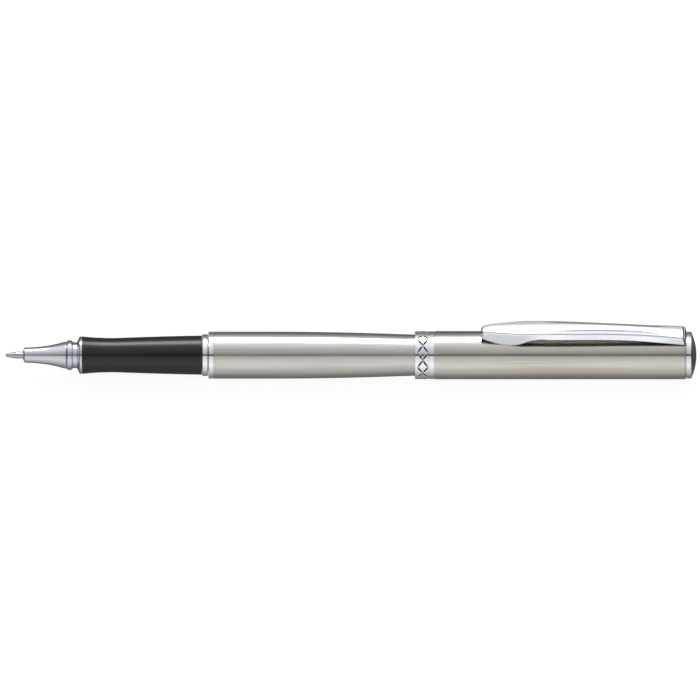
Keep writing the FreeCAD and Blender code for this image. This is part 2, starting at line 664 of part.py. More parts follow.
def make_cap():
    revolved("cap_mouth_sleeve", "cap_at", [
        ("0", "mouth_clear_rad"),
        ("0", "sleeve_rad"),
        ("sleeve_end_at", "sleeve_rad"),
        ("sleeve_end_at", "mouth_clear_rad"),
    ])
    make_band()
    revolved("cap_band_ring", "cap_at", [
        ("band_line_at", "band_bore_rad"),
        ("band_line_at", "band_rad"),
        ("band_ring_end_at", "band_rad"),
        ("band_ring_end_at", "cap_line_rad"),
        ("cap_shell_at", "cap_line_rad"),
        ("cap_shell_at", "band_bore_rad"),
    ])
    revolved("cap_shell", "cap_at", [
        ("cap_shell_at", "cap_bore_rad"),
        ("cap_shell_at", "cap_rad"),
        ("cap_shell_end_at", "cap_rad"),
        ("cap_shell_end_at", "cap_bore_rad"),
    ])
    make_clutch_ring()
    revolved("inner_cap", "cap_at", [
        ("liner_at", "liner_bore_rad"),
        ("liner_at", "liner_rad"),
        ("liner_step_end_at", "liner_rad"),
        ("liner_step_end_at", "liner_nose_wall_rad"),
        ("liner_end_at", "liner_nose_wall_rad"),
        ("liner_end_at", "0"),
        ("liner_nose_end_at", "0"),
        ("liner_nose_end_at", "liner_nose_rad"),
        ("liner_step_end_at", "liner_nose_rad"),
        ("liner_step_at", "liner_bore_rad"),
    ])
    revolved("cap_top_bush", "cap_at", [
        ("top_bush_at", "stud_bore_rad"),
        ("top_bush_at", "top_bush_rad"),
        ("cap_shell_end_at", "top_bush_rad"),
        ("cap_shell_end_at", "stud_bore_rad"),
    ])
    make_washer()
    revolved("finial", "cap_at", [
        ("stud_at", "0"),
        ("stud_at", "stud_rad"),
        ("washer_end_at", "stud_rad"),
        ("washer_end_at", "finial_seat_rad"),
        ("finial_at", "finial_seat_rad"),
        ("finial_at", "finial_rad"),
        ("finial_rim_end_at", "finial_rad"),
        ("finial_bevel_at", "finial_bevel_rad"),
        ("dome_at", "dome_rad"),
        ("dome_end_at", "0", "dome_round"),
    ])
    make_clip()


def make_washer():
    """The flat washer clamped under the finial, with the lug that carries the clip."""
    body = revolved("clip_washer", "cap_at", [
        ("cap_shell_end_at", "washer_bore_rad"),
        ("cap_shell_end_at", "washer_rad"),
        ("washer_rim_end_at", "washer_rad"),
        ("washer_rim_end_at", "washer_step_rad"),
        ("washer_end_at", "washer_step_rad"),
        ("washer_end_at", "washer_bore_rad"),
    ])
    sketch = new_sketch(body, "XZ_Plane", "clip_lug_outline")
    draw_outline(sketch, [
        ("cap_shell_end_at", "lug_low"),
        ("cap_shell_end_at", "lug_bend"),
        ("cap_shell_end_at - lug_lean", "lug_top"),
        ("washer_end_at - lug_lean", "lug_top"),
        ("washer_end_at", "lug_bend"),
        ("washer_end_at", "lug_low"),
    ])
    lug = body.newObject("PartDesign::Pad", "clip_lug")
    lug.Profile = sketch
    bind(lug, "Length", "lug_width")
    lug.Midplane = True


def clip_outline(name, hollow):
    """A cross-section of the clip: a channel open towards the cap, or the same filled in."""
    half = f"{name}_half"
    top = f"{name}_top"
    low = f"{name}_low"
    right = [
        (f"{half} - clip_fold", top),
        (half, f"{top} - clip_fold"),
        (f"{half} + clip_flare", low),
    ]
    if hollow:
        right += [
            (f"{half} + clip_flare - clip_sheet", low),
            (f"{half} - clip_sheet", f"{top} - clip_fold_inside"),
            (f"{half} - clip_fold_inside", f"{top} - clip_sheet"),
        ]
    swap = str.maketrans("+-", "-+")
    left = [("0 - " + across.translate(swap), up) for across, up in reversed(right)]
    return right + left


def section_sketch(body, name, hollow):
    sketch = new_sketch(body, "YZ_Plane", f"clip_{name}_{'channel' if hollow else 'end'}")
    bind(sketch, "AttachmentOffset.Base.z", f"{name}_station")
    draw_outline(sketch, clip_outline(name, hollow))
    return sketch


def make_clip():
    """The clip's arm: one folded channel through nine cross-sections, with its tip closed."""
    body = new_body("clip", "cap_at")
    sections = [section_sketch(body, name, True) for name in CLIP_SECTIONS]
    arm = body.newObject("PartDesign::AdditiveLoft", "clip_arm")
    arm.Profile = sections[0]
    arm.Sections = sections[1:]
    arm.Ruled = True
    end = body.newObject("PartDesign::Pad", "clip_tip")
    end.Profile = section_sketch(body, "tip", False)
    bind(end, "Length", "tip_wall")


make_refill()
make_section()
make_barrel()
make_cap()
doc.recompute()

for item in doc.Objects:
    if "Invalid" in item.State or "Error" in item.State:
        raise RuntimeError(f"{item.Label} did not compute: {item.State}")
for piece in sub_parts:
    shape = piece.Shape
    if shape.isNull() or not shape.isValid() or len(shape.Solids) != 1:
        raise RuntimeError(f"{piece.Label} is not one valid solid")

os.makedirs("parts", exist_ok=True)
for piece in sub_parts:
    piece.Shape.exportStep(f"parts/{piece.Label}.step")
    box = piece.Shape.BoundBox
    print(
        f"{piece.Label:18s} x {box.XMin:8.2f} {box.XMax:8.2f}"
        f"  z {box.ZMin:6.2f} {box.ZMax:6.2f}  volume {piece.Shape.Volume:8.2f}"
    )
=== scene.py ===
import math

import bmesh
import bpy
import numpy as np
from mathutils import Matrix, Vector


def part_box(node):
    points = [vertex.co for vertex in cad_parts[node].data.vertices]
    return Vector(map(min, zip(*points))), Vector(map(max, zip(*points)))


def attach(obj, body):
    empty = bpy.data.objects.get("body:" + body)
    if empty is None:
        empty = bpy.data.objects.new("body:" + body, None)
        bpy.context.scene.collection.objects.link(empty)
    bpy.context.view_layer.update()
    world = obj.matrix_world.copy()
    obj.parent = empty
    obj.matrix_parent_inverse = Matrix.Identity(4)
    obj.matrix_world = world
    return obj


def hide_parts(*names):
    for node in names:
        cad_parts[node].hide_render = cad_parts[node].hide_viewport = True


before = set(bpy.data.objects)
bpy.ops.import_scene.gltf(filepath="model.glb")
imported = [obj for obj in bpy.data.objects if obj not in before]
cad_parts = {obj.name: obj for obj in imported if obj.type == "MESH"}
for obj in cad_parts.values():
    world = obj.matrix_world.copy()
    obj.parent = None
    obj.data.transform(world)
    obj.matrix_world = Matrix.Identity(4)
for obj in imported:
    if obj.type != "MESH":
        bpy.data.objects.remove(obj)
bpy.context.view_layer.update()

# The looks of a rollerball pen whose cap is posted on its tail.
# Stations and radii below are in millimetres. A station is a distance along the pen from one of
# three starts: the front of the writing ball, the front face of the barrel, or the cap's mouth.

MM = 0.001
SEGMENTS = 192          # facets round a turned piece


def middle(node, axis):
    """The middle of a node's box along an axis, in metres."""
    low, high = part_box(node)
    return (low[axis] + high[axis]) / 2


AXIS_Z = middle("barrel_shell", 2)
BALL_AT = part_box("writing_ball")[0][0] / MM
BARREL_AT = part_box("barrel_ring")[0][0] / MM
CAP_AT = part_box("cap_band")[0][0] / MM


# ---- outlines --------------------------------------------------------------------------------

def arc(first, last, radius, steps):
    """Points on an arc after first, up to last. A negative radius bulges to the other side."""
    first = np.array(first, float)
    last = np.array(last, float)
    chord = last - first
    length = np.linalg.norm(chord)
    across = np.array((-chord[1], chord[0])) / length
    drop = math.sqrt(max(radius * radius - length * length / 4, 0))
    centre = (first + last) / 2 - math.copysign(drop, radius) * across
    start = math.atan2(*(first - centre)[::-1])
    sweep = 2 * math.asin(min(length / 2 / abs(radius), 1))
    if radius > 0:
        sweep = -sweep
    points = []
    for step in range(1, steps + 1):
        angle = start + sweep * step / steps
        points.append(centre + abs(radius) * np.array((math.cos(angle), math.sin(angle))))
    points[-1] = last
    return points


def outline(corners, steps=28):
    """Corner = (station, radius[, rounding[, radius of the arc that arrives there]])."""
    points = []
    for corner in corners:
        corner = tuple(corner) + (0.0,) * (4 - len(corner))
        if corner[3]:
            for point in arc(points[-1][0], corner[:2], corner[3], steps):
                points.append((point, 0.0))
            points[-1] = (points[-1][0], corner[2])
        else:
            points.append((np.array(corner[:2], float), corner[2]))
    return rounded(points)


CORNER_ROOM = 0.4       # share of the shorter side that a corner's arc may take
CORNER_BESIDE = 1.6     # where the points beside a corner's arc stand, in reaches of the arc
ALMOST_STRAIGHT = 1.55  # half the angle of a corner that needs no arc


def rounded(points):
    """Turns each corner that has a rounding into a small arc, with a point beside each end."""
    result = []
    count = len(points)
    for index, (point, rounding) in enumerate(points):
        before = points[index - 1][0] - point
        after = points[(index + 1) % count][0] - point
        room = CORNER_ROOM * min(np.linalg.norm(before), np.linalg.norm(after))
        before = before / np.linalg.norm(before)
        after = after / np.linalg.norm(after)
        half = math.acos(max(-1, min(1, float(before @ after)))) / 2
        if not rounding or half > ALMOST_STRAIGHT:
            result.append(point)
            continue
        reach = min(rounding / math.tan(half), room)
        radius = reach * math.tan(half)
        turn = math.pi - 2 * half
        steps = max(3, int(turn / 0.25))
        bisector = (before + after) / np.linalg.norm(before + after)
        centre = point + bisector * radius / math.sin(half)
        start = point + before * reach - centre
        side = -1 if before[0] * after[1] - before[1] * after[0] > 0 else 1
        result.append(point + before * reach * CORNER_BESIDE)
        for step in range(steps + 1):
            angle = side * turn * step / steps
            turned = (
                start[0] * math.cos(angle) - start[1] * math.sin(angle),
                start[0] * math.sin(angle) + start[1] * math.cos(angle),
            )
            result.append(centre + np.array(turned))
        result.append(point + after * reach * CORNER_BESIDE)
    return result


# ---- meshes ----------------------------------------------------------------------------------

def new_piece(name, vertices, faces, body, material, nodes=(), sharp=35, inside=None):
    """A closed mesh that rides on a body, in place of the nodes that it stands for.

    sharp = the angle in degrees above which an edge stays sharp. inside = 1 for each point of the
    piece's inside, where the clip's finish paints shade, and 0 for the others.
    """
    mesh = bpy.data.meshes.new(name)
    mesh.from_pydata(vertices, [], faces)
    if inside:
        mesh.attributes.new("inside", "FLOAT", "POINT").data.foreach_set("value", inside)
    shape = bmesh.new()
    shape.from_mesh(mesh)
    bmesh.ops.remove_doubles(shape, verts=shape.verts, dist=1e-7)
    bmesh.ops.recalc_face_normals(shape, faces=shape.faces)
    shape.to_mesh(mesh)
    shape.free()
    mesh.shade_smooth()
    mesh.set_sharp_from_angle(angle=math.radians(sharp))
    mesh.materials.append(material)
    piece = bpy.data.objects.new(name, mesh)
    bpy.context.scene.collection.objects.link(piece)
    if nodes:
        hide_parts(*nodes)
    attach(piece, body)
    return piece


def lathe(
    node, body, start, corners, material, segments=SEGMENTS, relief=None, steps=28,
):
    """Turns an outline about the pen's axis. relief = (lowest radius, step, depth of the cut)."""
    points = outline(corners, steps)
    if relief:
        lowest, step, cut = relief
        finer = []
        for index, point in enumerate(points):
            following = points[(index + 1) % len(points)]
            parts = 1
            if min(point[1], following[1]) >= lowest:
                parts = max(1, int(abs(following[0] - point[0]) / step))
            for part in range(parts):
                finer.append(point + (following - point) * part / parts)
        points = finer
    vertices = []
    rings = []
    turns = np.arange(segments) * 2 * math.pi / segments
    for station, radius in points:
        x = (start + station) * MM
        if radius < 1e-6:
            rings.append([len(vertices)] * segments)
            vertices.append((x, 0.0, AXIS_Z))
            continue
        radii = np.full(segments, radius)
        if relief and radius >= lowest:
            radii = radii - cut(station, turns)
        rings.append(list(range(len(vertices), len(vertices) + segments)))
        for turn, wide in zip(turns, radii):
            vertices.append((x, wide * MM * math.cos(turn), AXIS_Z + wide * MM * math.sin(turn)))
    faces = []
    for index, ring in enumerate(rings):
        following = rings[(index + 1) % len(rings)]
        if ring[0] == ring[1] and following[0] == following[1]:
            continue
        for segment in range(segments):
            beside = (segment + 1) % segments
            face = [ring[segment], ring[beside], following[beside], following[segment]]
            faces.append(list(dict.fromkeys(face)))
    return new_piece(node + "_detail", vertices, faces, body, material, [node])


def strips(rows, count):
    """Faces between closed rows of points that follow each other, with count points in each."""
    faces = []
    for row in range(rows - 1):
        for index in range(count):
            following = (index + 1) % count
            faces.append([
                row * count + index, row * count + following,
                (row + 1) * count + following, (row + 1) * count + index,
            ])
    return faces


# ---- materials -------------------------------------------------------------------------------

def add(tree, kind, settings=None, **inputs):
    """Adds a node. An input is a constant or another node's output."""
    node = tree.nodes.new(kind)
    for name, value in (settings or {}).items():
        setattr(node, name, value)
    for name, value in inputs.items():
        key = int(name[1:]) if name[0] == "i" and name[1:].isdigit() else name.replace("_", " ")
        if isinstance(value, bpy.types.NodeSocket):
            tree.links.new(value, node.inputs[key])
        else:
            node.inputs[key].default_value = value
    return node


def maths(tree, operation, first, second=0.0):
    """The output of a sum, product or other operation on one or two values."""
    return add(tree, "ShaderNodeMath", {"operation": operation}, i0=first, i1=second).outputs[0]


def spread(tree, value, low, high, start=0.3, end=0.7):
    """Maps a noise value onto a range."""
    node = add(tree, "ShaderNodeMapRange", None, Value=value)
    limits = {"From Min": start, "From Max": end, "To Min": low, "To Max": high}
    for name, number in limits.items():
        node.inputs[name].default_value = number
    return node.outputs[0]


def noise(tree, scale, detail=4.0, roughness=0.5):
    """Noise over the piece, with one scale per axis, in features per metre."""
    coordinates = add(tree, "ShaderNodeTexCoord").outputs["Object"]
    stretched = add(
        tree, "ShaderNodeVectorMath", {"operation": "MULTIPLY"}, i0=coordinates, i1=scale,
    )
    node = add(
        tree, "ShaderNodeTexNoise", None,
        Vector=stretched.outputs[0], Scale=1.0, Detail=detail, Roughness=roughness,
    )
    return node.outputs[0]


def blend_colours(tree, factor, first, second, way="MIX"):
    """Goes from the first colour to the second one, or to their product, as factor goes to 1."""
    node = add(tree, "ShaderNodeMix", {"data_type": "RGBA", "blend_type": way})
    tree.links.new(factor, node.inputs[0])
    for socket, value in ((node.inputs[6], first), (node.inputs[7], second)):
        if isinstance(value, bpy.types.NodeSocket):
            tree.links.new(value, socket)
        else:
            socket.default_value = value
    return node.outputs[2]


GROOVE_FADE = 0.05      # length over which a groove's darkening fades at its ends
GROOVE_DARK_ROUGHNESS = 0.35


def groove_mask(tree, radius, deep, first, last):
    """1 where the surface lies below a radius about the pen's axis, between two stations."""
    coordinates = add(tree, "ShaderNodeTexCoord").outputs["Object"]
    parts = add(tree, "ShaderNodeSeparateXYZ", None, Vector=coordinates)
    height = maths(tree, "SUBTRACT", parts.outputs[2], AXIS_Z)
    squares = maths(
        tree, "ADD",
        maths(tree, "MULTIPLY", parts.outputs[1], parts.outputs[1]),
        maths(tree, "MULTIPLY", height, height),
    )
    distance = maths(tree, "SQRT", squares)
    below = spread(tree, distance, 1.0, 0.0, (radius - deep) * MM, (radius - deep * 0.2) * MM)
    from_start = (CAP_AT + first) * MM
    to_end = (CAP_AT + last) * MM
    fade = GROOVE_FADE * MM
    start = spread(tree, parts.outputs[0], 0.0, 1.0, from_start, from_start + fade)
    end = spread(tree, parts.outputs[0], 1.0, 0.0, to_end - fade, to_end)
    return maths(tree, "MULTIPLY", below, maths(tree, "MULTIPLY", start, end))


def finish(
    name, colour, metallic, roughness, grain, shift=0.05, rough_shift=0.04,
    patch=(220, 220, 220), patch_shift=0.03, depth=1e-6, strength=0.25, warmth=0.0,
    constants=None, round_tangent=False, grooves=None, inside=None,
):
    """A finish with grain, soft patches, uneven roughness and a fine surface.

    grain and patch are features per metre along each axis, and shift and patch_shift are how far
    they change the colour. warmth makes the patches warmer, or cooler where it is negative.
    grooves = (radius, depth, colour, first, last) darkens what lies below that radius about the
    pen's axis, between two stations of the cap. inside = (colour, added roughness) paints shade,
    in that colour, on what the piece marks as its inside.
    """
    material = bpy.data.materials.new(name)
    material.use_nodes = True
    tree = material.node_tree
    shader = tree.nodes["Principled BSDF"]
    shader.inputs["Metallic"].default_value = metallic
    for socket, value in (constants or {}).items():
        shader.inputs[socket].default_value = value
    fine = noise(tree, grain)
    broad = noise(tree, patch, 2.0)
    darker = [channel * (1 - shift) for channel in colour] + [1]
    lighter = [min(1, channel * (1 + shift)) for channel in colour] + [1]
    lit = blend_colours(tree, spread(tree, fine, 0.0, 1.0), darker, lighter)
    tint = [1 - patch_shift * (1 + warmth * channel) for channel in range(3)] + [1]
    surface = blend_colours(tree, spread(tree, broad, 0.0, 1.0), lit, tint, "MULTIPLY")
    rough = maths(
        tree, "ADD",
        spread(tree, fine, roughness - rough_shift, roughness + rough_shift),
        spread(tree, broad, -rough_shift / 2, rough_shift / 2),
    )
    if grooves:
        groove_darkening = groove_mask(tree, *grooves[:2], *grooves[3:])
        surface = blend_colours(tree, groove_darkening, surface, grooves[2] + [1])
        rough = maths(tree, "ADD", rough, maths(tree, "MULTIPLY", groove_darkening, GROOVE_DARK_ROUGHNESS))
    # painted shade: the marked inside takes a dark colour
    if inside:
        painted_shade_colour, rougher = inside
        painted_shade_mask = add(tree, "ShaderNodeAttribute", {"attribute_name": "inside"}).outputs["Fac"]
        surface = blend_colours(tree, painted_shade_mask, surface, painted_shade_colour + [1])
        rough = maths(tree, "ADD", rough, maths(tree, "MULTIPLY", painted_shade_mask, rougher))
    tree.links.new(surface, shader.inputs["Base Color"])
    tree.links.new(rough, shader.inputs["Roughness"])
    bump = add(tree, "ShaderNodeBump", None, Strength=strength, Distance=depth, Height=fine)
    tree.links.new(bump.outputs[0], shader.inputs["Normal"])
    if round_tangent:
        tangent = add(tree, "ShaderNodeTangent", {"direction_type": "RADIAL", "axis": "X"})
        tree.links.new(tangent.outputs[0], shader.inputs["Tangent"])
    return material


# grains, in features per metre along each axis
HAIRLINES = (45, 3200, 3200)
TURNED = (9000, 500, 500)
EVEN = (2500, 2500, 2500)
MOULDED = (5200, 5200, 5200)

CHROME = (0.86, 0.87, 0.90)
BRUSHED = {
    "constants": {"Anisotropic": 0.35}, "round_tangent": True, "depth": 3e-6, "strength": 0.18,
}
POLISHED = {
    "rough_shift": 0.02, "patch": (420, 420, 420), "depth": 1.5e-6, "strength": 0.12,
    "warmth": -0.4,
}

barrel_steel = finish(
    "barrel_brushed_steel", (0.60, 0.585, 0.555), 1.0, 0.205, HAIRLINES, shift=0.06,
    rough_shift=0.03, patch=(28, 300, 300), patch_shift=0.05, warmth=0.3, **BRUSHED,
)
cap_steel = finish(
    "cap_brushed_steel", (0.615, 0.592, 0.552), 1.0, 0.175, HAIRLINES, shift=0.07,
    rough_shift=0.03, patch=(36, 330, 330), patch_shift=0.08, warmth=0.5, **BRUSHED,
)
ring_chrome = finish("ring_chrome", CHROME, 1.0, 0.075, EVEN, shift=0.015, **POLISHED)
# The grooves of the crosses are darkened to near black.
band_chrome = finish(
    "band_chrome", CHROME, 1.0, 0.09, EVEN, shift=0.02,
    grooves=(5.35, 0.11, [0.024, 0.023, 0.028], 0.3, 2.9), **POLISHED,
)
nose_chrome = finish(
    "nose_chrome", (0.615, 0.62, 0.665), 1.0, 0.13, (1400, 2600, 2600), shift=0.02,
    rough_shift=0.025, patch=(350, 350, 350), patch_shift=0.04, depth=2e-6, strength=0.12,
    warmth=-0.5,
)
# The inside of the clip's channel is painted dark, as painted shade under the clip.
clip_chrome = finish(
    "clip_chrome", (0.87, 0.88, 0.915), 1.0, 0.085, (260, 2600, 2600), shift=0.02,
    rough_shift=0.02, patch=(260, 420, 420), depth=2e-6, strength=0.14, warmth=-0.4,
    inside=([0.26, 0.255, 0.25], 0.15),
)
# The lug's steel is painted dark, as painted shade in the gap between the clip's root and the
# finial.
lug_painted_dark = finish(
    "lug_steel_painted_shade", (0.19, 0.19, 0.195), 1.0, 0.36, (2600, 300, 300), shift=0.1,
    rough_shift=0.05, patch=(500, 500, 500), patch_shift=0.06, depth=3e-6, strength=0.2,
)
washer_steel = finish(
    "washer_satin_steel", (0.52, 0.51, 0.49), 1.0, 0.2, (3000, 300, 300),
    patch=(500, 500, 500), patch_shift=0.05, depth=3e-6, strength=0.2,
)
finial_chrome = finish(
    "finial_chrome", (0.80, 0.81, 0.84), 1.0, 0.08, EVEN, shift=0.015, **POLISHED,
)
grip_black = finish(
    "grip_black", (0.0022, 0.0020, 0.0018), 0.0, 0.25, MOULDED, shift=0.25, rough_shift=0.03,
    patch=(150, 400, 400), patch_shift=0.18, depth=4e-6, strength=0.22,
    constants={"Specular IOR Level": 0.50},
)
tip_steel = finish(
    "refill_tip_steel", (0.45, 0.45, 0.462), 1.0, 0.30, TURNED, shift=0.08, rough_shift=0.05,
    patch=(600, 600, 600), patch_shift=0.05, depth=3e-6, strength=0.3,
)
carbide = finish("writing_ball_carbide", (0.42, 0.42, 0.44), 1.0, 0.16, (9000, 9000, 9000))
brass = finish(
    "machined_brass", (0.78, 0.57, 0.27), 1.0, 0.22, TURNED, shift=0.08, rough_shift=0.05,
    patch=(500, 500, 500), patch_shift=0.08, depth=3e-6, strength=0.35, warmth=0.5,
)
wire_steel = finish(
    "spring_wire", (0.50, 0.50, 0.51), 1.0, 0.3, EVEN, shift=0.08, rough_shift=0.06,
)
rubber = finish(
    "seal_rubber", (0.016, 0.016, 0.016), 0.0, 0.62, MOULDED, shift=0.25, rough_shift=0.1,
    depth=6e-6, strength=0.5,
)
white_plastic = finish(
    "white_plastic", (0.80, 0.80, 0.78), 0.0, 0.33, EVEN, shift=0.02, rough_shift=0.05,
    constants={"Subsurface Weight": 0.05},
)
clear_plastic = finish(
    "clear_plastic", (0.86, 0.88, 0.90), 0.0, 0.18, EVEN, shift=0.02,
    constants={"Transmission Weight": 0.75, "IOR": 1.49},
)
ink = finish(
    "black_ink", (0.004, 0.004, 0.006), 0.0, 0.08, EVEN, shift=0.2, rough_shift=0.03,
)
grease = finish(
    "follower_grease", (0.74, 0.70, 0.52), 0.0, 0.25, (900, 900, 900), rough_shift=0.08,
    constants={"Transmission Weight": 0.3},
)
clutch_plastic = finish(
    "clutch_plastic", (0.030, 0.030, 0.032), 0.0, 0.42, MOULDED, shift=0.15, rough_shift=0.06,
)
liner_plastic = finish(
    "liner_plastic", (0.055, 0.055, 0.058), 0.0, 0.5, MOULDED, shift=0.12, rough_shift=0.06,
)


# ---- refill ----------------------------------------------------------------------------------

BALL_RADIUS = 0.35
lathe("writing_ball", "ball", BALL_AT, [
    (0.0, 0.0),
    (BALL_RADIUS * 2, 0.0, 0.0, BALL_RADIUS * 1.0001),
], carbide, 64, steps=40)
lathe("refill_tip", "refill", BALL_AT, [
    (0.26, 0.348),
    (0.26, 0.42, 0.02),
    (2.35, 0.75, 0.2),
    (6.2, 0.75),
    (7.0, 1.15, 0.05),
    (10.2, 1.15),
    (10.2, 0.80),
    (14.0, 0.80),
    (14.0, 0.45),
    (5.0, 0.45),
    (5.0, 0.15),
    (0.76, 0.15),
    (0.55, 0.37),
    (0.35, 0.37),
], tip_steel, 128)


# ---- section ---------------------------------------------------------------------------------

lathe("nose_cone", "section", BALL_AT, [
    (3.95, 0.85),
    (3.95, 0.95, 0.04),
    (4.25, 1.69, 0.10),
    (5.5, 1.74),
    (13.40, 3.06, 0.05, -31.2),
    (13.40, 2.35),
    (20.9, 2.35),
    (20.9, 1.70),
    (10.0, 1.70),
    (10.0, 1.25),
    (5.2, 1.25),
    (5.2, 0.85),
], nose_chrome)
lathe("nose_collar", "section", BALL_AT, [
    (13.42, 2.40),
    (13.42, 2.95, 0.03),
    (13.52, 2.95),
    (15.15, 2.90, 0.0, 1.01),
    (16.0, 2.90, 0.12),
    (16.5, 4.05, 0.06),
    (16.62, 4.17, 0.05),
    (17.08, 4.17, 0.05),
    (17.08, 2.40),
], nose_chrome)
lathe("grip_sleeve", "section", BALL_AT, [
    (17.10, 3.35),
    (17.10, 4.20, 0.08),
    (27.0, 3.93, 0.0, -61.0),
    (43.92, 4.39, 0.08, 900.0),
    (43.92, 3.35),
], grip_black)

THREAD_PITCH = 1.0
THREAD_DEPTH = 0.30
THREAD_START = 46.75
THREAD_END = 53.3
THREAD_EASE = 0.4       # length over which the groove fades at each end
THREAD_FLANK = 2.7      # how steeply the groove's depth grows within a turn
THREAD_CREST = 0.18     # what the crest takes off that growth


def thread_cut(station, turns):
    """Depth of a right-hand thread's groove, easing out at both ends."""
    phase = (station / THREAD_PITCH + turns / (2 * math.pi)) % 1.0
    wave = np.clip(np.abs(phase - 0.5) * THREAD_FLANK - THREAD_CREST, 0, 1)
    ahead = max(0.0, (station - THREAD_START) / THREAD_EASE)
    behind = max(0.0, (THREAD_END - station) / THREAD_EASE)
    return THREAD_DEPTH * wave * min(1.0, ahead, behind)


lathe("section_core", "section", BALL_AT, [
    (17.10, 2.40),
    (17.10, 3.33),
    (43.96, 3.33),
    (43.96, 3.60),
    (46.45, 3.60),
    (46.45, 4.00, 0.15),
    (53.6, 4.00, 0.25),
    (53.6, 2.95),
    (20.9, 2.95),
    (20.9, 2.40),
], brass, 144, (3.99, 0.055, thread_cut))
lathe("section_ring", "section", BALL_AT, [
    (43.96, 3.62),
    (43.96, 4.675, 0.28),
    (45.28, 4.675, 0.28),
    (45.28, 3.62),
], ring_chrome)


# ---- barrel ----------------------------------------------------------------------------------

lathe("barrel_ring", "barrel", BARREL_AT, [
    (0.0, 4.52),
    (0.0, 5.25, 0.22),
    (1.03, 5.25, 0.06),
    (1.03, 5.08),
    (1.13, 5.08),
    (1.13, 4.78),
    (2.63, 4.78),
    (2.63, 4.52),
], ring_chrome)
lathe("barrel_shell", "barrel", BARREL_AT, [
    (1.13, 4.80),
    (1.13, 5.26, 0.05),
    (14.63, 5.26),
    (38.63, 4.86, 0.0, 740.0),
    (72.63, 3.76, 0.10),
    (72.63, 3.31),
    (38.63, 4.41),
    (14.63, 4.80, 0.0, -740.0),
], barrel_steel)
lathe("barrel_end_plug", "barrel", BARREL_AT, [
    (71.93, 0.0),
    (71.93, 2.62),
    (70.73, 2.62),
    (70.73, 3.26),
    (72.63, 3.26),
    (72.63, 3.74, 0.04),
    (73.33, 3.74, 0.15),
    (74.03, 0.0, 0.0, 10.35),
], ring_chrome)


# ---- cap -------------------------------------------------------------------------------------

CROSSES = 10
CROSS_MIDDLE = 1.75     # station of the crosses' middles
CROSS_HALF = 1.156      # half their length along the cap
BAND_RADIUS = 5.35
FIRST_CROSS = math.radians(3.5)
CROSS_STEP = 2 * math.pi / CROSSES
CUT_AT_ENDS = 0.06
CUT_SWELL = 0.16        # what the cut gains in depth at the middle of an arm
BURR = 0.018            # height of the raised edge beside a cut
BURR_WIDTH = 0.035
BURR_ASIDE = 0.03


def engraving(station, turns):
    """Depth of the crosses cut round the band. Each arm is deepest at its middle.

    way is the distance along the nearest arm from the cross's middle, and aside the distance
    from that arm.
    """
    along = station - CROSS_MIDDLE
    around = (turns - FIRST_CROSS + CROSS_STEP / 2) % CROSS_STEP - CROSS_STEP / 2
    around = np.abs(around) * BAND_RADIUS
    reach = CROSS_STEP / 2 * BAND_RADIUS
    length = math.hypot(CROSS_HALF, reach)
    way = (abs(along) * CROSS_HALF + around * reach) / length
    aside = np.abs(abs(along) * reach - around * CROSS_HALF) / length
    share = np.clip(way / length, 0, 1)
    beyond = np.maximum(way - length, 0)
    deep = CUT_AT_ENDS + CUT_SWELL * np.sin(math.pi * share) ** 0.8
    groove = np.clip(deep - aside - beyond, 0, None)
    from_burr = (aside - deep - BURR_ASIDE) / BURR_WIDTH
    return groove - BURR * np.exp(-(from_burr ** 2)) * (way < length)


lathe("cap_mouth_sleeve", "cap", CAP_AT, [
    (0.0, 4.72),
    (0.0, 4.98, 0.05),
    (7.5, 4.98),
    (7.5, 4.72),
], brass)
lathe("cap_band", "cap", CAP_AT, [
    (0.0, 5.00),
    (0.0, BAND_RADIUS, 0.06),
    (2.99, BAND_RADIUS, 0.05),
    (2.99, 5.18),
    (3.10, 5.18),
    (3.10, 5.00),
], band_chrome, 900, (5.30, 0.052, engraving))
lathe("cap_band_ring", "cap", CAP_AT, [
    (3.10, 5.00),
    (3.10, 5.35, 0.07),
    (4.22, 5.35, 0.07),
    (4.22, 5.18),
    (4.34, 5.18),
    (4.34, 5.00),
], ring_chrome)
lathe("cap_shell", "cap", CAP_AT, [
    (4.34, 5.00),
    (4.34, 5.40, 0.05),
    (60.34, 5.40, 0.05),
    (60.34, 5.00),
], cap_steel)
lathe("clip_washer", "cap", CAP_AT, [
    (60.34, 1.60),
    (60.34, 5.35, 0.05),
    (60.55, 5.35, 0.06),
    (60.55, 5.10),
    (60.69, 5.10),
    (60.69, 1.60),
], washer_steel)
lathe("finial", "cap", CAP_AT, [
    (55.4, 0.0),
    (55.4, 1.5, 0.2),
    (60.69, 1.5),
    (60.69, 4.95),
    (60.74, 4.95),
    (60.74, 5.25, 0.06),
    (61.20, 5.25),
    (61.60, 5.21, 0.0, 2.2),
    (61.95, 4.78, 0.0, 0.38),
    (62.94, 0.0, 0.0, 12.1),
], finial_chrome)


def make_lug():
    """The washer's lug, which stands up behind the clip's root and leans towards it."""
    side = [
        (60.36, 4.60), (60.36, 5.45), (60.30, 5.75), (60.06, 7.08), (60.14, 7.20),
        (60.32, 7.20), (60.40, 7.08), (60.64, 5.75), (60.68, 5.45), (60.68, 4.60),
    ]
    across = (-1.98, -1.90, 1.90, 1.98)
    tucks = (0.06, 0.0, 0.0, 0.06)
    centre = np.mean(side, axis=0)
    vertices = []
    for place, tuck in zip(across, tucks):
        for point in side:
            way = centre - np.array(point)
            station, height = np.array(point) + way / np.linalg.norm(way) * tuck
            vertices.append(((CAP_AT + station) * MM, place * MM, AXIS_Z + height * MM))
    count = len(side)
    faces = strips(len(across), count)
    faces.append(list(range(count)))
    faces.append(list(range(len(vertices) - count, len(vertices))))
    new_piece("clip_lug_detail", vertices, faces, "cap", lug_painted_dark)


make_lug()

